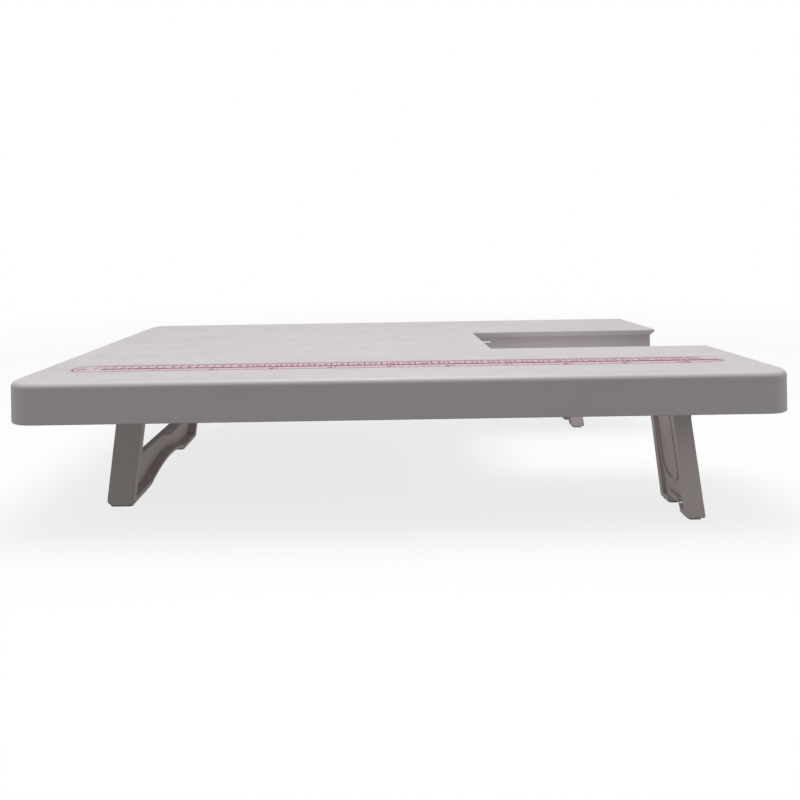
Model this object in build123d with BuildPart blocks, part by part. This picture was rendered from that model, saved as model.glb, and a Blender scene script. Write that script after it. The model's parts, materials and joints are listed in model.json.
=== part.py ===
"""Sewing extension table: a moulded top with a free-arm notch, standing on three fold-out legs.

Millimetres, +X to the right, +Y to the rear, +Z up. The origin is on the floor, under the
middle of the top. The legs are modelled unfolded, as they stand in use.
"""
import os
from math import cos, radians, sin, tan

from build123d import *

# Tabletop moulding
table_width = 425.0
table_depth = 280.0
table_height = 84.5
skirt_height = 22.3
plate_thickness = 3.0
wall_thickness = 2.6
corner_radius = 15.5
top_round = 3.0
right_half = table_width / 2
rear_half = table_depth / 2
skirt_bottom = table_height - skirt_height
ceiling = table_height - plate_thickness
near = 1.0

# Free-arm notch, open at the right-hand end, with an overhanging lip along its rear wall
notch_left = 66.1
notch_front = -37.5
notch_rear = 53.0
notch_corner = 2.0
lip_overhang = 3.5
lip_corner = 4.5
lip_drop = 1.4
lip_bevel = 2.8
lip_round = 0.7
bottom_chamfer = 0.5
tongue_length = 5.4
tongue_width = 7.0
tongue_y = -1.5
tongue_drop = 0.4

# Printed ruler film, laid in a shallow recess of the top
ruler_length = 387.5
ruler_width = 22.5
ruler_x = 0.4
ruler_y = -94.5
film_thickness = 0.25
film_recess = 0.3
film_gap = 0.05

# Stiffening ribs under the top
rib_thickness = 1.6
rib_drop = 4.0

# Hinges, the same at every leg
pivot_height = 72.0
pin_radius = 2.0
running_clearance = 0.05
seat_width = 26.0
seat_length = 8.0
slot_length = 6.5
seat_round = 2.0
seat_gap = 0.4
saddle_radius = 5.5
cap_flange = 3.0
screw_offset = 9.0
screw_radius = 1.25
screw_length = 9.0
screw_clearance = 0.15
pilot_clearance = 0.03
head_radius = 2.6
head_height = 1.7
head_rim = 0.5
dome_middle = (1.8, -1.35)
cross_length = 2.8
cross_width = 0.7
cross_depth = 0.9
pilot_depth = 8.0
pin_chamfer = 0.4
pin_end_gap = 0.3
stop_gap = 0.3
stop_thickness = 2.5
stop_reach = 8.5
stop_rise = 19.0
gusset_length = 6.0
gusset_drop = 12.0
stop_inset = 4.0

# Legs
splay = 7.4
pad_thickness = 1.0
pad_inset = 0.6
pad_shift = 0.7
pad_round = 1.5
leg_stock = 90.0
foot_flange = 3.7
side_flange = 5.0
web_thickness = 3.0
leg_rib = 2.0

left_pivot_x = -158.3
left_front = -88.0
left_rear = 72.0
left_thickness = 15.8
left_recess = 6.0
left_foot_round = 3.0
left_front_foot_end = -56.0
left_rear_foot_start = 34.0
left_hole_depth = 19.0

# Arch between the left leg's feet: crown, then the low rear end where it drops to the foot
arch_crown_y = -10.0
arch_crown = 9.4
arch_rear_y = 30.0
arch_rear = 3.5
arch_flange = 2.2
arch_floor_reach = 6.0

# Window of the left leg, with the sill of the web lower on the outer side
window_bottom = 24.0
window_top = -6.5
window_front = -60.0
window_rear = 43.0
window_round = 12.0
window_small_round = 3.0
window_flange = 3.0
beam_flange = 4.0
outer_sill = 17.5
outer_rib_places = (-59.0, -35.0, -10.0, 15.0, 41.0)

# Finger pad on the inner side of the sill, beside the rear post, with sloping sides
ledge_front = -15.0
ledge_middle = 8.0
ledge_drop = 9.0
ledge_rise = 3.0
ledge_slope = 30.0

right_thickness = 9.7
right_width = 38.0
right_top_width = 35.0
right_straight = 12.0
right_recess = 2.2
right_web = 2.5
right_side_flange = 4.5
right_foot_length = 10.0
right_foot_extra = 1.0
right_rib_heights = (24.0, 40.0)
right_rib_inset = 1.0
right_arch_height = 6.6
right_arch_flange = 3.0
right_arch_draft = 1.0
right_foot_round = 1.0
flare_start = 56.0
flare_end = 62.4
flare_width = 1.8
u_rib_radius = 11.5
u_rib_width = 1.8
u_rib_height = 1.1
u_rib_centre = 20.5
u_rib_bottom = 27.5
right_front_edge = -123.0
right_front_pivot_x = 155.3
right_rear_edge = 82.0
right_rear_pivot_x = 148.4

tilt = radians(splay)


def along(height):
    """Distance from the pivot, along a leg, of a point at this height above the floor."""
    return (height - pivot_height) / cos(tilt)


def leg_plane(pivot_x):
    """Middle plane of a leg: sketch X is the table's Y, and sketch Y climbs the leg."""
    side = 1 if pivot_x < 0 else -1
    across = (cos(tilt), 0, -side * sin(tilt))
    return Plane(origin=(pivot_x, 0, pivot_height), x_dir=(0, 1, 0), z_dir=across)


def section_plane(pivot_x, y):
    """Plane across a leg at this Y: sketch X goes through its thickness, and sketch Y climbs it."""
    return Plane(origin=(pivot_x, y, pivot_height), x_dir=leg_plane(pivot_x).z_dir, z_dir=(0, -1, 0))


def inward(pivot_x):
    """Sign, along a leg plane's normal, of the side that faces the middle of the table."""
    return 1 if pivot_x < 0 else -1


def table_outline(recess):
    """Plan of the table; recess moves the notch's rear wall and the right end behind it inwards."""
    with BuildSketch() as outline:
        with BuildLine():
            Polyline(
                (-right_half, -rear_half),
                (right_half, -rear_half),
                (right_half, notch_front),
                (notch_left, notch_front),
                (notch_left, notch_rear + recess),
                (right_half - recess, notch_rear + recess),
                (right_half - recess, rear_half),
                (-right_half, rear_half),
                close=True,
            )
        make_face()
        fillet(outline.vertices().filter_by(lambda v: v.Y < notch_front or v.X < 0), corner_radius)
        fillet(outline.vertices().filter_by(lambda v: 0 < v.X < notch_left + near), notch_corner)
        right_end = outline.vertices().filter_by(lambda v: v.X > right_half - recess - near)
        fillet(right_end.filter_by(lambda v: 0 < v.Y < rear_half - near), lip_corner - recess)
    return outline.sketch


def save(part, name):
    """Label one finished piece and write it."""
    part.label = name
    export_step(part, f"parts/{name}.step")


# One entry per hinge seat: the leg's pivot X, the leg face beside it, and the way to the seat
seats = {
    "left_front_hinge_cap": (left_pivot_x, left_front, -1),
    "left_rear_hinge_cap": (left_pivot_x, left_rear, 1),
    "right_front_leg_front_hinge_cap": (right_front_pivot_x, right_front_edge, -1),
    "right_front_leg_rear_hinge_cap": (right_front_pivot_x, right_front_edge + right_top_width, 1),
    "right_rear_leg_front_hinge_cap": (right_rear_pivot_x, right_rear_edge, -1),
    "right_rear_leg_rear_hinge_cap": (right_rear_pivot_x, right_rear_edge + right_top_width, 1),
}

# One entry per leg stop: the leg's pivot X and thickness, and the stop's span in Y
stops = [
    (left_pivot_x, left_thickness, left_front + stop_inset, left_front_foot_end - stop_inset),
    (left_pivot_x, left_thickness, left_rear_foot_start + stop_inset, left_rear - stop_inset),
    (right_front_pivot_x, right_thickness,
     right_front_edge + stop_inset, right_front_edge + right_top_width - stop_inset),
    (right_rear_pivot_x, right_thickness,
     right_rear_edge + stop_inset, right_rear_edge + right_top_width - stop_inset),
]

# Ribs under the top: the fixed coordinate, then where the rib starts and ends
lengthwise_ribs = [
    (-192.0, -138.0, 138.0), (-78.0, -138.0, 138.0), (-31.0, -138.0, 138.0), (16.0, -138.0, 138.0),
    (186.0, -138.0, -39.0), (186.0, 58.0, 138.0),
]
crosswise_ribs = [
    (-108.0, -210.0, 70.0), (-60.0, -78.0, 210.0), (8.0, -78.0, 65.0),
    (66.0, -78.0, 207.0), (104.0, -210.0, 66.0),
]


def seat_middle(leg_face, way):
    """Y of the middle of the hinge seat beside this face of a leg."""
    return leg_face + way * (seat_gap + seat_length / 2)


def slot_middle(leg_face, way):
    """Y of the middle of the pin slot, which stops short of the seat's far end."""
    return leg_face + way * (seat_gap + slot_length / 2)


def hinge_cap(pivot_x, leg_face, way):
    """Saddle cap that holds a hinge pin up in its seat, with a screw flange on each side."""
    middle = seat_middle(leg_face, way)
    with BuildPart() as cap:
        with BuildSketch(Plane.XZ.offset(-middle)):
            with Locations((pivot_x, pivot_height)):
                Rectangle(seat_width, cap_flange, align=(Align.CENTER, Align.MAX))
                Circle(saddle_radius)
                Rectangle(seat_width, seat_width, align=(Align.CENTER, Align.MIN), mode=Mode.SUBTRACT)
        extrude(amount=seat_length / 2, both=True)
        upright = cap.edges().filter_by(Axis.Z)
        fillet(upright.filter_by(lambda e: abs(e.center().X - pivot_x) > screw_offset), seat_round)
        with Locations((pivot_x, slot_middle(leg_face, way), pivot_height)):
            Cylinder(pin_radius + running_clearance, slot_length, rotation=(90, 0, 0), mode=Mode.SUBTRACT)
        with Locations([(pivot_x + dx, middle, pivot_height) for dx in (-screw_offset, screw_offset)]):
            Cylinder(screw_radius + screw_clearance, 4 * cap_flange, mode=Mode.SUBTRACT)
    return cap.part


def hinge_screw():
    """Pan-head self-tapping screw, pointing up, with the underside of its head at the origin."""
    with BuildPart() as screw:
        with BuildSketch(Plane.XZ):
            with BuildLine():
                Polyline((head_radius, 0), (screw_radius, 0), (screw_radius, screw_length - screw_radius))
                Polyline((screw_radius, screw_length - screw_radius), (0, screw_length), (0, -head_height))
                ThreePointArc((0, -head_height), dome_middle, (head_radius, -head_rim))
                Line((head_radius, -head_rim), (head_radius, 0))
            make_face()
        revolve(axis=Axis.Z)
        with Locations((0, 0, -head_height)):
            for turn in (0, 90):
                Box(cross_length, cross_width, 2 * cross_depth, rotation=(0, 0, turn), mode=Mode.SUBTRACT)
    return screw.part


def hinge_screws(pivot_x, *middles):
    """The four screws of one leg's two hinge caps."""
    screw = hinge_screw()
    with BuildPart() as screws:
        with Locations([(pivot_x + dx, y, pivot_height - cap_flange)
                        for y in middles for dx in (-screw_offset, screw_offset)]):
            add(screw)
    return screws.part


def hinge_pin(pivot_x, start, end):
    """Steel pin along the hinge axis from one Y to another, with chamfered ends."""
    with BuildPart() as pin:
        with Locations((pivot_x, (start + end) / 2, pivot_height)):
            Cylinder(pin_radius, end - start, rotation=(90, 0, 0))
        chamfer(pin.edges().filter_by(GeomType.CIRCLE), pin_chamfer)
    return pin.part


def foot_pads(pivot_x, thickness, feet):
    """Thin non-slip pads under the feet of one leg; feet are the feet's spans in Y."""
    foot_x = pivot_x - inward(pivot_x) * pivot_height * tan(tilt)
    pad_width = thickness - 2 * (pad_inset + pad_shift)
    with BuildPart() as pads:
        for start, end in feet:
            with BuildSketch():
                with Locations((foot_x + inward(pivot_x) * pad_shift, (start + end) / 2)):
                    RectangleRounded(pad_width, end - start - 2 * pad_inset, pad_round)
            extrude(amount=pad_thickness)
    return pads.part


def right_leg(pivot_x, front):
    """Narrow leg with two small feet; both right-hand legs are this moulding."""
    side = inward(pivot_x)
    plane = leg_plane(pivot_x)
    inner_face = plane.offset(side * right_thickness / 2)
    outer_face = plane.offset(-side * right_thickness / 2)
    outer_recess = right_thickness - right_recess - right_web
    rear = front + right_width
    top_rear = front + right_top_width
    foot_end = front + right_foot_length
    rear_foot = rear - right_foot_length - right_foot_extra
    web_front = front + right_side_flange
    web_rear = rear - right_side_flange
    web_top_rear = top_rear - right_side_flange
    with BuildPart() as leg:
        with BuildSketch(section_plane(pivot_x, rear)):
            Rectangle(right_thickness, leg_stock, align=(Align.CENTER, Align.MAX))
            Circle(right_thickness / 2)
            with BuildLine():
                Polyline(
                    (0, along(flare_start)),
                    (-side * right_thickness / 2, along(flare_start)),
                    (-side * (right_thickness / 2 + flare_width), along(flare_end)),
                    (0, along(flare_end)),
                    close=True,
                )
            make_face()
        extrude(amount=right_width)
        with Locations((pivot_x, front, pad_thickness)):
            Box(leg_stock, 3 * right_width, leg_stock, mode=Mode.SUBTRACT,
                align=(Align.CENTER, Align.CENTER, Align.MAX))
        sole_edges = leg.edges().filter_by(Axis.Y).group_by(Axis.Z)[0]
        fillet(sole_edges.sort_by(Axis.X)[-1], right_foot_round)
        for face, way, depth in ((inner_face, -side, right_recess), (outer_face, side, outer_recess)):
            with BuildSketch(face):
                with BuildLine():
                    Polyline(
                        (web_front, -right_thickness),
                        (web_front, along(pad_thickness + foot_flange)),
                        (foot_end, along(pad_thickness + foot_flange)),
                        (foot_end + right_arch_flange, along(right_arch_height + right_arch_flange)),
                        (rear_foot - right_arch_flange, along(right_arch_height + right_arch_flange)),
                        (rear_foot, along(pad_thickness + foot_flange)),
                        (web_rear, along(pad_thickness + foot_flange)),
                        (web_top_rear, -right_straight),
                        (web_top_rear, -right_thickness),
                        close=True,
                    )
                make_face()
            extrude(amount=way * depth, mode=Mode.SUBTRACT)
        with BuildSketch(plane.offset(side * (right_thickness / 2 - right_recess))):
            with Locations((front + u_rib_centre, 0)):
                with Locations((0, along(u_rib_bottom))):
                    Circle(u_rib_radius)
                Rectangle(2 * u_rib_radius, -along(u_rib_bottom), align=(Align.CENTER, Align.MAX))
                with Locations((0, along(u_rib_bottom))):
                    Circle(u_rib_radius - u_rib_width, mode=Mode.SUBTRACT)
                Rectangle(2 * (u_rib_radius - u_rib_width), -along(u_rib_bottom), mode=Mode.SUBTRACT,
                          align=(Align.CENTER, Align.MAX))
        extrude(amount=side * u_rib_height)
        with BuildSketch(outer_face):
            for height in right_rib_heights:
                with Locations((front + right_width / 2, along(height))):
                    Rectangle(right_width - 2 * right_rib_inset, leg_rib)
        extrude(amount=side * outer_recess)
        with BuildSketch(plane):
            with BuildLine():
                Polyline(
                    (top_rear, leg_stock), (top_rear, -right_straight), (rear, along(0)),
                    (rear + leg_stock, along(0)), (rear + leg_stock, leg_stock), close=True,
                )
            make_face()
            with BuildLine():
                Polyline(
                    (foot_end, along(-pad_thickness)),
                    (foot_end + right_arch_draft, along(right_arch_height)),
                    (rear_foot - right_arch_draft, along(right_arch_height)),
                    (rear_foot, along(-pad_thickness)),
                    close=True,
                )
            make_face()
        extrude(amount=right_thickness, both=True, mode=Mode.SUBTRACT)
        with Locations((pivot_x, (front + top_rear) / 2, pivot_height)):
            Cylinder(pin_radius + running_clearance, right_width, rotation=(90, 0, 0), mode=Mode.SUBTRACT)
    return leg.part


os.makedirs("parts", exist_ok=True)

# Tabletop: plate, skirt, notch, locating tongue, ribs, hinge seats and leg stops in one moulding
with BuildPart() as tabletop:
    with BuildSketch(Plane.XY.offset(ceiling - lip_drop)):
        add(table_outline(0))
    extrude(amount=plate_thickness + lip_drop)
    under_plate = tabletop.faces().sort_by(Axis.Z)[0].edges().filter_by(GeomType.LINE)
    under_lip = under_plate.filter_by(lambda e: e.center().X > notch_left)
    under_lip = under_lip.filter_by(lambda e: notch_rear - near < e.center().Y < rear_half - near)
    chamfer(under_lip, lip_bevel)
    with BuildSketch(Plane.XY.offset(skirt_bottom)):
        add(table_outline(lip_overhang))
    extrude(amount=skirt_height - plate_thickness)
    with BuildSketch(Plane.XY.offset(skirt_bottom)):
        add(table_outline(lip_overhang))
        offset(amount=-wall_thickness, mode=Mode.REPLACE)
    extrude(amount=skirt_height - plate_thickness, mode=Mode.SUBTRACT)

    rim = tabletop.faces().sort_by(Axis.Z)[-1].edges()
    lip_rim = rim.filter_by(lambda e: e.center().X > notch_left and 0 < e.center().Y < rear_half - near)
    right_rim = rim.filter_by(lambda e: e.center().X > 0)
    notch_rim = right_rim.filter_by(lambda e: notch_front - near < e.center().Y < notch_rear - near)
    fillet([e for e in rim if e not in lip_rim and e not in notch_rim], top_round)
    rim = tabletop.faces().sort_by(Axis.Z)[-1].edges().filter_by(lambda e: e.center().X > notch_left)
    lip_rim = rim.filter_by(lambda e: 0 < e.center().Y < rear_half - 2 * top_round)
    fillet(lip_rim.filter_by(GeomType.LINE), lip_round)
    bottom_rim = tabletop.faces().sort_by(Axis.Z)[0].edges()
    chamfer(bottom_rim, bottom_chamfer)

    with Locations((notch_left - near, tongue_y, ceiling)):
        Box(tongue_length + near, tongue_width, plate_thickness - tongue_drop,
            align=(Align.MIN, Align.CENTER, Align.MIN))

    for x, start, end in lengthwise_ribs:
        with Locations((x, start, ceiling)):
            Box(rib_thickness, end - start, rib_drop, align=(Align.CENTER, Align.MIN, Align.MAX))
    for y, start, end in crosswise_ribs:
        with Locations((start, y, ceiling)):
            Box(end - start, rib_thickness, rib_drop, align=(Align.MIN, Align.CENTER, Align.MAX))

    for pivot_x, leg_face, way in seats.values():
        middle = seat_middle(leg_face, way)
        with Locations((pivot_x, middle, ceiling)):
            Box(seat_width, seat_length, ceiling - pivot_height,
                align=(Align.CENTER, Align.CENTER, Align.MAX))
        with Locations((pivot_x, slot_middle(leg_face, way), pivot_height)):
            Cylinder(pin_radius + running_clearance, slot_length, rotation=(90, 0, 0), mode=Mode.SUBTRACT)
        with Locations([(pivot_x + dx, middle, pivot_height) for dx in (-screw_offset, screw_offset)]):
            Cylinder(screw_radius + pilot_clearance, pilot_depth, mode=Mode.SUBTRACT,
                     align=(Align.CENTER, Align.CENTER, Align.MIN))

    for pivot_x, thickness, start, end in stops:
        outward = -inward(pivot_x)
        with BuildSketch(leg_plane(pivot_x).offset(outward * (thickness / 2 + stop_gap))):
            with Locations(((start + end) / 2, -stop_reach)):
                Rectangle(end - start, stop_rise, align=(Align.CENTER, Align.MIN))
        extrude(amount=outward * stop_thickness)
        gusset_side = Align.MAX if outward < 0 else Align.MIN
        stop_x = pivot_x + outward * (thickness / 2 + stop_gap + stop_thickness)
        with Locations([(stop_x, y, ceiling) for y in (start + leg_rib, end - leg_rib)]):
            Box(gusset_length, leg_rib, gusset_drop, align=(gusset_side, Align.CENTER, Align.MAX))

    with BuildSketch(Plane.XY.offset(table_height)):
        with Locations((ruler_x, ruler_y)):
            SlotOverall(ruler_length + 2 * film_gap, ruler_width + 2 * film_gap)
    extrude(amount=-film_recess, mode=Mode.SUBTRACT)
save(tabletop.part, "tabletop")

# Printed ruler film, its face a hair below the top so that it doesn't catch the fabric
with BuildPart() as ruler_strip:
    with BuildSketch(Plane.XY.offset(table_height - film_recess)):
        with Locations((ruler_x, ruler_y)):
            SlotOverall(ruler_length, ruler_width)
    extrude(amount=film_thickness)
save(ruler_strip.part, "ruler_strip")

# Left leg: one wide frame with a front post, a rear post, a window between them and an arched foot
left_plane = leg_plane(left_pivot_x)
left_inner_face = left_plane.offset(left_thickness / 2)
left_outer_face = left_plane.offset(-left_thickness / 2)
left_outer_recess = left_thickness - left_recess - web_thickness
window_sill = along(window_bottom)
with BuildPart() as left_leg:
    with BuildSketch(section_plane(left_pivot_x, left_rear)):
        Rectangle(left_thickness, leg_stock, align=(Align.CENTER, Align.MAX))
        Circle(left_thickness / 2)
    extrude(amount=left_rear - left_front)
    with Locations((left_pivot_x, left_front, pad_thickness)):
        Box(leg_stock, 4 * leg_stock, leg_stock, mode=Mode.SUBTRACT,
            align=(Align.CENTER, Align.CENTER, Align.MAX))
    fillet(left_leg.edges().filter_by(Axis.Y).group_by(Axis.Z)[0].sort_by(Axis.X)[0], left_foot_round)

    foot_floor = along(pad_thickness + foot_flange)
    for face, depth in ((left_inner_face, -left_recess), (left_outer_face, left_outer_recess)):
        with BuildSketch(face):
            with BuildLine():
                Polyline(
                    (arch_rear_y, along(arch_rear + arch_flange)),
                    (left_rear_foot_start, foot_floor),
                    (left_rear - side_flange, foot_floor),
                    (left_rear - side_flange, -left_thickness / 2),
                    (window_rear, -left_thickness / 2),
                    (window_rear, beam_flange),
                    (window_front, beam_flange),
                    (window_front, -left_thickness / 2),
                    (left_front + side_flange, -left_thickness / 2),
                    (left_front + side_flange, foot_floor),
                    (left_front_foot_end + arch_floor_reach, foot_floor),
                )
                ThreePointArc(
                    (left_front_foot_end + arch_floor_reach, foot_floor),
                    (arch_crown_y, along(arch_crown + arch_flange)),
                    (arch_rear_y, along(arch_rear + arch_flange)),
                )
            make_face()
        extrude(amount=depth, mode=Mode.SUBTRACT)

    window_middle = (window_front + window_rear) / 2
    window_width = window_rear - window_front
    outer_height = window_top - along(outer_sill)
    with BuildSketch(left_outer_face):
        with Locations((window_middle, along(outer_sill))):
            Rectangle(window_width + 2 * window_flange, outer_height + window_flange,
                      align=(Align.CENTER, Align.MIN))
            Rectangle(left_rear - left_front - side_flange, leg_rib, align=(Align.CENTER, Align.MAX))
        for y in outer_rib_places:
            with Locations((y, along(outer_sill))):
                Rectangle(leg_rib, along(outer_sill) - along(arch_rear), align=(Align.CENTER, Align.MAX))
    extrude(amount=left_outer_recess)
    with BuildSketch(left_outer_face):
        with Locations((window_middle, along(outer_sill))):
            Rectangle(window_width, outer_height, align=(Align.CENTER, Align.MIN))
    extrude(amount=left_outer_recess, mode=Mode.SUBTRACT)

    with BuildSketch(left_plane.offset(left_thickness / 2 - left_recess)):
        with BuildLine():
            Polyline(
                (ledge_front, window_sill),
                (window_rear + side_flange, window_sill),
                (window_rear + side_flange, window_sill - ledge_drop),
                (window_rear, window_sill - ledge_drop),
            )
            ThreePointArc(
                (window_rear, window_sill - ledge_drop),
                (ledge_middle, window_sill - ledge_drop / 2 - near),
                (ledge_front, window_sill),
            )
        make_face()
    extrude(amount=ledge_rise, taper=ledge_slope)

    with BuildSketch(left_plane) as window:
        with Locations((window_middle, window_sill)):
            Rectangle(window_width, window_top - window_sill, align=(Align.CENTER, Align.MIN))
        fillet(window.vertices().group_by(Axis.Y)[0].sort_by(Axis.X)[-1], window_round)
        fillet(window.vertices().group_by(Axis.Y)[0].sort_by(Axis.X)[0], window_small_round)
    extrude(amount=left_thickness, both=True, mode=Mode.SUBTRACT)

    with BuildSketch(left_plane):
        with BuildLine():
            Polyline(
                (arch_rear_y, along(arch_rear)),
                (left_rear_foot_start, along(0)),
                (left_rear_foot_start, -leg_stock),
                (left_front_foot_end, -leg_stock),
                (left_front_foot_end, along(0)),
            )
            ThreePointArc(
                (left_front_foot_end, along(0)),
                (arch_crown_y, along(arch_crown)),
                (arch_rear_y, along(arch_rear)),
            )
        make_face()
    extrude(amount=left_thickness, both=True, mode=Mode.SUBTRACT)

    with Locations([(left_pivot_x, y, pivot_height) for y in (left_front, left_rear)]):
        Cylinder(pin_radius + running_clearance, 2 * left_hole_depth,
                 rotation=(90, 0, 0), mode=Mode.SUBTRACT)
save(left_leg.part, "left_leg")

# Right legs: the same moulding twice, the rear one a little further in from the end of the table
save(right_leg(right_front_pivot_x, right_front_edge), "right_front_leg")
save(right_leg(right_rear_pivot_x, right_rear_edge), "right_rear_leg")

# Hinge pins: two stub pins for the wide left leg, one through pin for each right leg
pin_reach = seat_gap + slot_length - pin_end_gap
left_pin_depth = left_hole_depth - pin_end_gap
save(hinge_pin(left_pivot_x, left_front - pin_reach, left_front + left_pin_depth), "left_front_hinge_pin")
save(hinge_pin(left_pivot_x, left_rear - left_pin_depth, left_rear + pin_reach), "left_rear_hinge_pin")
for name, pivot_x, front in (
    ("right_front_leg_hinge_pin", right_front_pivot_x, right_front_edge),
    ("right_rear_leg_hinge_pin", right_rear_pivot_x, right_rear_edge),
):
    save(hinge_pin(pivot_x, front - pin_reach, front + right_top_width + pin_reach), name)

# Hinge caps, and the four screws of each leg's two caps
for name, (pivot_x, leg_face, way) in seats.items():
    save(hinge_cap(pivot_x, leg_face, way), name)
for name, pivot_x, front, rear in (
    ("left_hinge_screws", left_pivot_x, left_front, left_rear),
    ("right_front_leg_hinge_screws", right_front_pivot_x,
     right_front_edge, right_front_edge + right_top_width),
    ("right_rear_leg_hinge_screws", right_rear_pivot_x,
     right_rear_edge, right_rear_edge + right_top_width),
):
    save(hinge_screws(pivot_x, seat_middle(front, -1), seat_middle(rear, 1)), name)

# Foot pads, two under each leg
left_feet = [(left_front, left_front_foot_end), (left_rear_foot_start, left_rear)]
save(foot_pads(left_pivot_x, left_thickness, left_feet), "left_foot_pads")
for name, pivot_x, front in (
    ("right_front_foot_pads", right_front_pivot_x, right_front_edge),
    ("right_rear_foot_pads", right_rear_pivot_x, right_rear_edge),
):
    rear = front + right_width
    feet = [(front, front + right_foot_length), (rear - right_foot_length - right_foot_extra, rear)]
    save(foot_pads(pivot_x, right_thickness, feet), name)
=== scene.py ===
"""Looks of the sewing extension table: materials, the printed ruler, a plain studio and the camera."""
import json
from math import cos, pi, sin

import bmesh
import bpy
from mathutils import Euler, Matrix, Vector


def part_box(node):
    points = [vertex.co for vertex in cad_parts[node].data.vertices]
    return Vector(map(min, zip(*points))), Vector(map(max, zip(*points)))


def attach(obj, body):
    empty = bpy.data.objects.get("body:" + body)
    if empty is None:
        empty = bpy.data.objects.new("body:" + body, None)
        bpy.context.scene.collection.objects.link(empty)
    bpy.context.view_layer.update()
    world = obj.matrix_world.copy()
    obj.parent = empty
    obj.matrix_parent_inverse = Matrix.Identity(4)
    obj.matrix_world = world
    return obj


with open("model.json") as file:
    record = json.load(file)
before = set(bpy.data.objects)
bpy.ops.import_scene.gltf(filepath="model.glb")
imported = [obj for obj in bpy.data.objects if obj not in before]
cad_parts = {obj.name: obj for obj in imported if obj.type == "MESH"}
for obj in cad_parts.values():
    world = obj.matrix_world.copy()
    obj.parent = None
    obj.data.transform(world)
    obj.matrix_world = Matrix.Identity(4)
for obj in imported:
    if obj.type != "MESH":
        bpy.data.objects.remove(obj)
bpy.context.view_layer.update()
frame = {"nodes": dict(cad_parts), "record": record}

MM = 0.001

# Camera: eye point, small roll, and a shifted frame, as a product photo is taken
EYE = (-0.0150, -0.528, 0.1557)
ROLL = -0.0160
LENS = 32.85
SENSOR = 36.0
SHIFT = (0.0388, -0.1943)
NEAR_CLIP = 0.01

# Studio: light from above, both sides and behind, little from the front, and a thin floor on white.
# The ranges are parts of a unit direction: depth along Y, height along Z, sideways along X.
FRONT_LIGHT = 0.08
BACK_LIGHT = 0.20
DEPTH_RANGE = (-0.5, 0.8)
SIDE_LIGHT = 0.47
SIDE_RANGE = (0.3, 1.0)
ZENITH_LIGHT = 1.0
ZENITH_RANGE = (0.35, 1.0)
PANEL_POWER = 4.6
PANEL_SIZE = 0.5
PANEL_PLACE = (0.0, -0.05, 0.85)
PANEL_AIM = (0, 0, -1)
PANEL_COLOUR = (1, 1, 1)
FILL_POWER = 0.052
FILL_SIZE = 0.10
FILL_PLACE = (0.135, -0.010, 0.012)
FILL_AIM = (0.0, 0.3, 0.95)
FILL_COLOUR = (1.0, 0.90, 0.91)
FLOOR_SIZE = 3.0
FLOOR_TONE = 0.80
FLOOR_ROUGHNESS = 0.95
FLOOR_SPECULAR = 0.1
FLOOR_COVER = 0.22
FADE_START = 0.45
FADE_END = 1.5

# Ruler print on the film in the top; the three lines are measured from the film's middle
INK_HEIGHT = 0.03 * MM
THICK_LINE = 2.6 * MM
THIN_LINE = 0.8 * MM
UPPER_LINE = 8.8 * MM
MAIN_LINE = -2.0 * MM
LOWER_LINE = -10.5 * MM
LEFT_MARGIN = 1.8 * MM
RIGHT_MARGIN = 1.8 * MM
HOOK_RADIUS = 1.8 * MM
HOOK_RUN = 15 * MM
CENTIMETRES = 36
ZERO_TO_END = 360 * MM
BAND_END = 181.4 * MM
BAND_CORNER = 2 * MM
MAIN_LINE_START = 4 * MM
TICK_WIDTH = 0.36 * MM
LONG_TICK_WIDTH = 1.6 * TICK_WIDTH
TICK_LENGTHS = (2.0 * MM, 3.2 * MM, 10.4 * MM)
SIZE_MARKS = 10
SIZE_STEP = 34.4 * MM
SIZE_PARTS = 8
FIRST_SIZE_MARK = -139.1 * MM
DIGIT_HEIGHT = 4.6 * MM
UNIT_HEIGHT = 5.52 * MM
DIGIT_WIDTH = 2.5 * MM
NARROW_ONE = 0.22
SMALL_DIGIT_HEIGHT = 4.0 * MM
SMALL_DIGIT_WIDTH = 3.0 * MM
NUMBER_GAP = 4.6 * MM
NUMBER_RISE = 4.6 * MM
SMALL_NUMBER_GAP = 3.0 * MM
SMALL_NUMBER_RISE = 2.6 * MM
UNIT_SHIFT = 4.0 * MM
ARC_STEPS = 16


# ---------------------------------------------------------------- camera and studio

def make_camera():
    """Level camera in front of the table, rolled slightly."""
    data = bpy.data.cameras.new("camera")
    data.lens = LENS
    data.sensor_width = SENSOR
    data.shift_x, data.shift_y = SHIFT
    data.clip_start = NEAR_CLIP
    camera = bpy.data.objects.new("camera", data)
    turn = Euler((pi / 2, 0, 0)).to_matrix() @ Matrix.Rotation(ROLL, 3, "Z")
    camera.matrix_world = Matrix.Translation(EYE) @ turn.to_4x4()
    bpy.context.scene.collection.objects.link(camera)
    bpy.context.scene.camera = camera


def smooth_range(nodes, links, source, start, end, low, high):
    """Smooth step of source from start..end to low..high."""
    node = nodes.new("ShaderNodeMapRange")
    node.interpolation_type = "SMOOTHSTEP"
    node.inputs["From Min"].default_value = start
    node.inputs["From Max"].default_value = end
    node.inputs["To Min"].default_value = low
    node.inputs["To Max"].default_value = high
    links.new(source, node.inputs["Value"])
    return node.outputs["Result"]


def math_node(nodes, links, operation, *sources):
    """Math node over these outputs."""
    node = nodes.new("ShaderNodeMath")
    node.operation = operation
    for source, socket in zip(sources, node.inputs):
        links.new(source, socket)
    return node.outputs["Value"]


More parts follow.
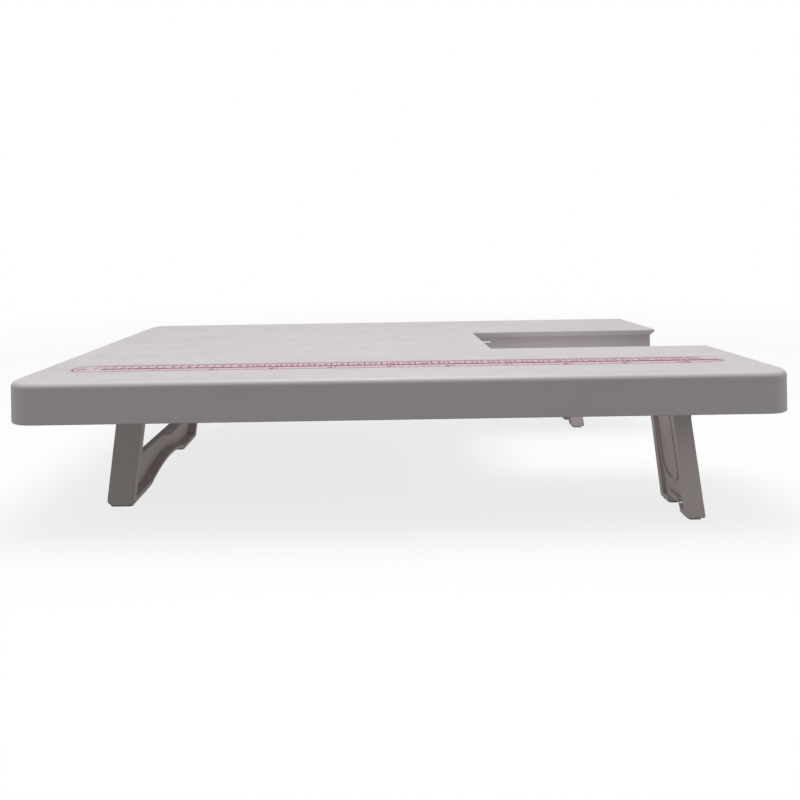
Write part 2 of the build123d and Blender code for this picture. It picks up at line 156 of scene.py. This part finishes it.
def make_world():
    """Soft box: bright above and at the sides, dark in front; the camera sees a plain white backdrop."""
    world = bpy.data.worlds.new("studio")
    world.use_nodes = True
    nodes, links = world.node_tree.nodes, world.node_tree.links
    coords = nodes.new("ShaderNodeTexCoord")
    split = nodes.new("ShaderNodeSeparateXYZ")
    links.new(coords.outputs["Generated"], split.inputs["Vector"])
    depth_light = smooth_range(nodes, links, split.outputs["Y"], *DEPTH_RANGE, FRONT_LIGHT, BACK_LIGHT)
    zenith = smooth_range(nodes, links, split.outputs["Z"], *ZENITH_RANGE, 0.0, ZENITH_LIGHT)
    across = math_node(nodes, links, "ABSOLUTE", split.outputs["X"])
    sides = smooth_range(nodes, links, across, *SIDE_RANGE, 0.0, SIDE_LIGHT)
    total = math_node(nodes, links, "ADD", math_node(nodes, links, "ADD", depth_light, zenith), sides)
    seen = nodes.new("ShaderNodeLightPath")
    level = nodes.new("ShaderNodeMix")
    links.new(seen.outputs["Is Camera Ray"], level.inputs["Factor"])
    links.new(total, level.inputs["A"])
    level.inputs["B"].default_value = 1.0
    background = nodes["Background"]
    background.inputs["Color"].default_value = (1, 1, 1, 1)
    links.new(level.outputs["Result"], background.inputs["Strength"])
    bpy.context.scene.world = world


def make_panel(name, power, size, place, aim, colour):
    """Square soft panel, not seen by the camera itself."""
    data = bpy.data.lights.new(name, "AREA")
    data.energy = power
    data.size = size
    data.color = colour
    panel = bpy.data.objects.new(name, data)
    panel.location = place
    panel.rotation_euler = Vector(aim).to_track_quat("-Z", "Y").to_euler()
    panel.visible_camera = False
    bpy.context.scene.collection.objects.link(panel)


def make_floor():
    """Pale floor that lets the white backdrop show through, is clear from below and fades outwards."""
    mesh = bpy.data.meshes.new("floor")
    edit = bmesh.new()
    bmesh.ops.create_grid(edit, x_segments=1, y_segments=1, size=FLOOR_SIZE)
    edit.to_mesh(mesh)
    edit.free()
    floor = bpy.data.objects.new("floor", mesh)
    bpy.context.scene.collection.objects.link(floor)
    material, nodes, links, shader = new_material("pale_floor")
    shader.inputs["Base Color"].default_value = (FLOOR_TONE, FLOOR_TONE, FLOOR_TONE, 1)
    shader.inputs["Roughness"].default_value = FLOOR_ROUGHNESS
    shader.inputs["Specular IOR Level"].default_value = FLOOR_SPECULAR
    coords = nodes.new("ShaderNodeTexCoord")
    distance = nodes.new("ShaderNodeVectorMath")
    distance.operation = "LENGTH"
    links.new(coords.outputs["Object"], distance.inputs[0])
    cover = smooth_range(nodes, links, distance.outputs["Value"], FADE_START, FADE_END, FLOOR_COVER, 0.0)
    below = nodes.new("ShaderNodeNewGeometry").outputs["Backfacing"]
    links.new(math_node(nodes, links, "SUBTRACT", cover, below), shader.inputs["Alpha"])
    mesh.materials.append(material)


# ---------------------------------------------------------------- materials

def new_material(name):
    """Material with its node tree's parts: nodes, links and the shader."""
    material = bpy.data.materials.new(name)
    material.use_nodes = True
    nodes = material.node_tree.nodes
    return material, nodes, material.node_tree.links, nodes["Principled BSDF"]


def noise(nodes, links, vector, scale, detail=2.0, roughness=0.5):
    node = nodes.new("ShaderNodeTexNoise")
    node.inputs["Scale"].default_value = scale
    node.inputs["Detail"].default_value = detail
    node.inputs["Roughness"].default_value = roughness
    links.new(vector, node.inputs["Vector"])
    return node.outputs["Fac"]


def object_coords(nodes, links, stretch=(1, 1, 1)):
    """Object coordinates in metres, stretched along the axes."""
    coords = nodes.new("ShaderNodeTexCoord")
    mapping = nodes.new("ShaderNodeMapping")
    mapping.inputs["Scale"].default_value = stretch
    links.new(coords.outputs["Object"], mapping.inputs["Vector"])
    return mapping.outputs["Vector"]


def ramp(nodes, links, source, stops):
    """Colour ramp through (position, colour) stops."""
    node = nodes.new("ShaderNodeValToRGB")
    elements = node.color_ramp.elements
    while len(elements) < len(stops):
        elements.new(0.5)
    for element, (position, colour) in zip(elements, stops):
        element.position = position
        element.color = [*colour, 1]
    links.new(source, node.inputs["Fac"])
    return node.outputs["Color"]


def bumps(nodes, links, shader, layers):
    """Chain of bump maps, coarse to fine: (height, distance in metres, strength)."""
    normal = None
    for height, distance, strength in layers:
        node = nodes.new("ShaderNodeBump")
        node.inputs["Distance"].default_value = distance
        node.inputs["Strength"].default_value = strength
        links.new(height, node.inputs["Height"])
        if normal:
            links.new(normal, node.inputs["Normal"])
        normal = node.outputs["Normal"]
    links.new(normal, shader.inputs["Normal"])


def shade(colour, factor):
    return [min(c * factor, 1.0) for c in colour]


def moulded_plastic(name, colour, roughness, grain):
    """ABS as moulded: faint flow mottling, spark-eroded grain, scuffs in the gloss, slow waviness."""
    material, nodes, links, shader = new_material(name)
    shader.inputs["IOR"].default_value = 1.5
    place = object_coords(nodes, links)
    flow = noise(nodes, links, object_coords(nodes, links, (0.35, 1, 1)), 26.0, 3.0, 0.55)
    links.new(ramp(nodes, links, flow, ((0.3, shade(colour, 0.965)), (0.7, shade(colour, 1.02)))),
              shader.inputs["Base Color"])
    haze = noise(nodes, links, place, 70.0, 5.0, 0.65)
    links.new(smooth_range(nodes, links, haze, 0.3, 0.7, roughness - 0.06, roughness + 0.07),
              shader.inputs["Roughness"])
    wave = noise(nodes, links, place, 14.0, 1.0)
    fine = noise(nodes, links, place, 2400.0, 3.0, 0.6)
    bumps(nodes, links, shader, ((wave, 0.0006, 0.12), (fine, grain, 0.5)))
    return material


def print_film():
    """Print film: a thin clear coat over the top's own grey, very faintly pink."""
    material, nodes, links, shader = new_material("ruler_film")
    place = object_coords(nodes, links)
    tint = noise(nodes, links, place, 120.0, 3.0)
    links.new(ramp(nodes, links, tint, ((0.35, (0.50, 0.455, 0.47)), (0.7, (0.53, 0.485, 0.50)))),
              shader.inputs["Base Color"])
    haze = noise(nodes, links, place, 300.0, 3.0)
    links.new(smooth_range(nodes, links, haze, 0.3, 0.7, 0.34, 0.44), shader.inputs["Roughness"])
    shader.inputs["Coat Weight"].default_value = 0.15
    shader.inputs["Coat Roughness"].default_value = 0.3
    bumps(nodes, links, shader, ((noise(nodes, links, place, 1500.0, 2.0), 0.00001, 0.3),))
    return material


def print_ink():
    """Crimson screen ink with slightly uneven cover."""
    material, nodes, links, shader = new_material("crimson_ink")
    place = object_coords(nodes, links)
    cover = noise(nodes, links, place, 900.0, 4.0, 0.7)
    links.new(ramp(nodes, links, cover, ((0.3, (0.22, 0.003, 0.045)), (0.7, (0.31, 0.010, 0.075)))),
              shader.inputs["Base Color"])
    links.new(smooth_range(nodes, links, cover, 0.3, 0.7, 0.6, 0.75), shader.inputs["Roughness"])
    shader.inputs["Specular IOR Level"].default_value = 0.2
    bumps(nodes, links, shader, ((cover, 0.000008, 0.4),))
    return material


def steel(name, colour, roughness, stretch, line_scale):
    """Bare or plated steel with fine lines drawn along one axis."""
    material, nodes, links, shader = new_material(name)
    shader.inputs["Metallic"].default_value = 1.0
    lines = noise(nodes, links, object_coords(nodes, links, stretch), line_scale, 4.0, 0.6)
    stain = noise(nodes, links, object_coords(nodes, links), 420.0, 3.0)
    links.new(ramp(nodes, links, stain, ((0.3, shade(colour, 0.82)), (0.7, colour))),
              shader.inputs["Base Color"])
    links.new(smooth_range(nodes, links, lines, 0.3, 0.7, roughness - 0.08, roughness + 0.12),
              shader.inputs["Roughness"])
    bumps(nodes, links, shader, ((lines, 0.00002, 0.4),))
    return material


def rubber():
    """Matt rubber in the legs' own grey, finely pitted."""
    material, nodes, links, shader = new_material("pad_rubber")
    place = object_coords(nodes, links)
    grain = noise(nodes, links, place, 1800.0, 4.0, 0.7)
    dust = noise(nodes, links, place, 160.0, 3.0)
    links.new(ramp(nodes, links, dust, ((0.35, (0.26, 0.232, 0.224)), (0.7, (0.33, 0.295, 0.285)))),
              shader.inputs["Base Color"])
    links.new(smooth_range(nodes, links, grain, 0.3, 0.7, 0.8, 0.95), shader.inputs["Roughness"])
    bumps(nodes, links, shader, ((grain, 0.00005, 0.7),))
    return material


def dress_nodes():
    """Give every CAD node the material of its slot."""
    looks = {
        "top_plastic": moulded_plastic("top_plastic", (0.505, 0.472, 0.496), 0.46, 0.00003),
        "leg_plastic": moulded_plastic("leg_plastic", (0.60, 0.527, 0.513), 0.48, 0.00004),
        "cap_plastic": moulded_plastic("cap_plastic", (0.58, 0.515, 0.50), 0.48, 0.00005),
        "ruler_film": print_film(),
        "pin_steel": steel("pin_steel", (0.60, 0.60, 0.61), 0.26, (1, 0.04, 1), 2600.0),
        "screw_steel": steel("screw_steel", (0.66, 0.66, 0.64), 0.34, (1, 1, 0.2), 1800.0),
        "pad_rubber": rubber(),
    }
    slots = {part["node"]: part["material_slot"] for part in frame["record"]["subparts"]}
    for node, obj in frame["nodes"].items():
        for slot in obj.material_slots:
            slot.material = looks[slots[node]]


# ---------------------------------------------------------------- printed ruler

def arc(centre, radius, start, end):
    """Points of an arc, angles in radians."""
    return [(centre[0] + radius * cos(start + (end - start) * i / ARC_STEPS),
             centre[1] + radius * sin(start + (end - start) * i / ARC_STEPS)) for i in range(ARC_STEPS + 1)]


def add_strip(edit, path, width, floor_z):
    """Closed flat strip of this width along a path, as one thin solid."""
    points = [Vector(p) for p in path]
    rings = []
    for i, point in enumerate(points):
        ahead = points[min(i + 1, len(points) - 1)] - points[max(i - 1, 0)]
        side = Vector((-ahead.y, ahead.x)).normalized() * width / 2
        corners = [(point + side, 0.0), (point - side, 0.0),
                   (point - side, INK_HEIGHT), (point + side, INK_HEIGHT)]
        rings.append([edit.verts.new((flat.x, flat.y, floor_z + rise)) for flat, rise in corners])
    for near, far in zip(rings, rings[1:]):
        for i in range(4):
            edit.faces.new((near[i], near[(i + 1) % 4], far[(i + 1) % 4], far[i]))
    edit.faces.new(rings[0][::-1])
    edit.faces.new(rings[-1])


def number_mesh(text):
    """Closed mesh of a number, one unit high and centred, from Blender's own font."""
    curve = bpy.data.curves.new("digits", "FONT")
    curve.body = text
    curve.extrude = 0.5
    curve.resolution_u = 3
    holder = bpy.data.objects.new("digits", curve)
    mesh = bpy.data.meshes.new_from_object(holder)
    bpy.data.objects.remove(holder)
    bpy.data.curves.remove(curve)
    return mesh


def add_number(edit, text, centre, height, digit_width, floor_z):
    """Add a number to edit, scaled to this height and width per digit."""
    mesh = number_mesh(text)
    xs = [v.co.x for v in mesh.vertices]
    ys = [v.co.y for v in mesh.vertices]
    width = len(text) * digit_width * (NARROW_ONE if text == "1" else 1.0)
    scale = Vector((width / (max(xs) - min(xs)), height / (max(ys) - min(ys)), INK_HEIGHT))
    middle = Vector(((max(xs) + min(xs)) / 2, (max(ys) + min(ys)) / 2, -0.5))
    target = Vector((centre[0], centre[1], floor_z))
    for vertex in mesh.vertices:
        vertex.co = (vertex.co - middle) * scale + target
    edit.from_mesh(mesh)
    bpy.data.meshes.remove(mesh)


def finish_print(edit, name, ink):
    """Turn edit into a piece of the print that rides on the table."""
    bmesh.ops.remove_doubles(edit, verts=edit.verts, dist=INK_HEIGHT / 10)
    bmesh.ops.recalc_face_normals(edit, faces=edit.faces)
    mesh = bpy.data.meshes.new(name)
    edit.to_mesh(mesh)
    edit.free()
    mesh.materials.append(ink)
    piece = bpy.data.objects.new(name, mesh)
    bpy.context.scene.collection.objects.link(piece)
    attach(piece, "table")


def make_ruler():
    """Band lines, centimetre scale with numbers, and the second scale below the main line."""
    low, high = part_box("ruler_strip")
    z = high[2]
    ink = print_ink()
    middle = (low[1] + high[1]) / 2
    main_y, upper_y, lower_y = middle + MAIN_LINE, middle + UPPER_LINE, middle + LOWER_LINE
    loop = (upper_y - lower_y) / 2
    left = low[0] + LEFT_MARGIN + loop
    right = high[0] - RIGHT_MARGIN - HOOK_RADIUS
    hook_middle = (right, main_y - HOOK_RADIUS)
    zero = BAND_END - ZERO_TO_END

    lines = bmesh.new()
    outline = [(BAND_END, main_y)]
    outline += arc((BAND_END - BAND_CORNER, upper_y - BAND_CORNER), BAND_CORNER, 0, pi / 2)
    outline += arc((left, upper_y - loop), loop, pi / 2, 3 * pi / 2)
    outline += [(right - HOOK_RUN, lower_y)] + arc(hook_middle, HOOK_RADIUS, -pi / 2, pi / 2)
    add_strip(lines, outline, THIN_LINE, z)
    add_strip(lines, [(zero + MAIN_LINE_START, main_y), (right, main_y)], THICK_LINE, z)
    finish_print(lines, "ruler_lines", ink)

    ticks = bmesh.new()
    for i in range(10 * CENTIMETRES):
        x = zero + i * MM
        length = TICK_LENGTHS[(i % 5 == 0) + (i % 10 == 0)]
        width = LONG_TICK_WIDTH if i % 10 == 0 else TICK_WIDTH
        add_strip(ticks, [(x, upper_y), (x, upper_y - length)], width, z)
    finish_print(ticks, "ruler_millimetre_ticks", ink)

    numbers = bmesh.new()
    for n in range(1, CENTIMETRES + 1):
        centre = (zero + 10 * n * MM - NUMBER_GAP, main_y + NUMBER_RISE)
        add_number(numbers, str(n), centre, DIGIT_HEIGHT, DIGIT_WIDTH, z)
    add_number(numbers, "cm", (left - UNIT_SHIFT, main_y), UNIT_HEIGHT, DIGIT_WIDTH, z)
    finish_print(numbers, "ruler_centimetre_numbers", ink)

    sizes = bmesh.new()
    for n in range(SIZE_MARKS):
        x = FIRST_SIZE_MARK + n * SIZE_STEP
        add_strip(sizes, [(x, lower_y), (x, main_y)], TICK_WIDTH, z)
        for part in range(1, SIZE_PARTS):
            length = TICK_LENGTHS[part == SIZE_PARTS // 2]
            place = x - part * SIZE_STEP / SIZE_PARTS
            add_strip(sizes, [(place, lower_y), (place, lower_y + length)], TICK_WIDTH, z)
        add_number(sizes, str(n + 1), (x - SMALL_NUMBER_GAP, lower_y + SMALL_NUMBER_RISE),
                   SMALL_DIGIT_HEIGHT, SMALL_DIGIT_WIDTH, z)
    finish_print(sizes, "ruler_size_scale", ink)


make_camera()
make_world()
make_panel("overhead_panel", PANEL_POWER, PANEL_SIZE, PANEL_PLACE, PANEL_AIM, PANEL_COLOUR)
make_panel("notch_fill", FILL_POWER, FILL_SIZE, FILL_PLACE, FILL_AIM, FILL_COLOUR)
make_floor()
dress_nodes()
make_ruler()

bpy.context.scene.view_settings.view_transform = "Standard"
